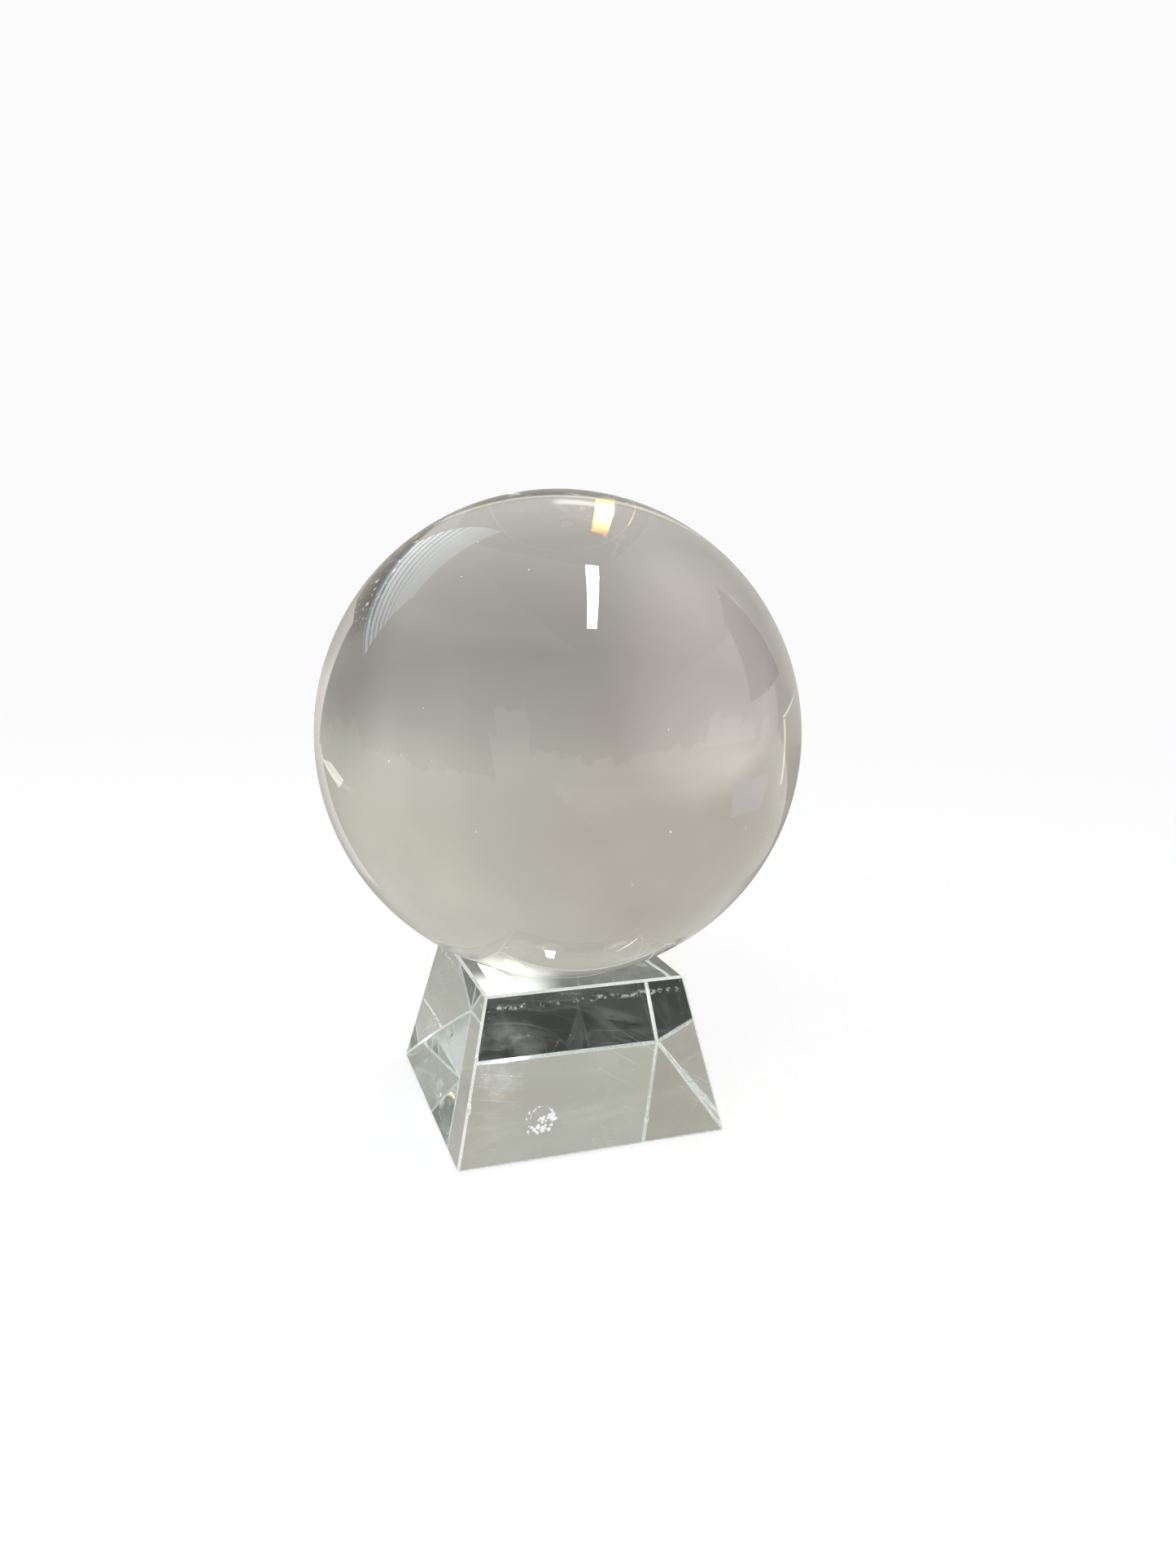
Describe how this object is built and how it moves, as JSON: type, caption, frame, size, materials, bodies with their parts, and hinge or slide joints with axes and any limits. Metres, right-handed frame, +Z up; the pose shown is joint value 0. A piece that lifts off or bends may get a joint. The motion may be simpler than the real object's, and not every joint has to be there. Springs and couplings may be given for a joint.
{
  "type": "crystal ball",
  "caption": "Clear glass ball resting loose in a shallow round seat on a square glass stand with sloping sides; the ball lifts straight off.",
  "frame": {"origin": "middle of the stand's flat underside, which is where the object rests", "axes": "+Z up, through the ball's centre; the stand's straight sides run along X and Y"},
  "size_m": [0.11, 0.11, 0.1426],
  "materials": {
    "clear_glass": "polished optical glass, colourless",
    "pale_green_glass": "polished glass with a faint green tint, thin bright chamfers and light wear"
  },
  "bodies": {
    "stand": {"glass_stand": "pale_green_glass"},
    "ball": {"crystal_ball": "clear_glass"}
  },
  "joints": [
    {"name": "ball_lift", "type": "slide", "parent": "stand", "child": "ball", "axis": [0, 0, 1], "range_m": [0, 0.1]}
  ]
}
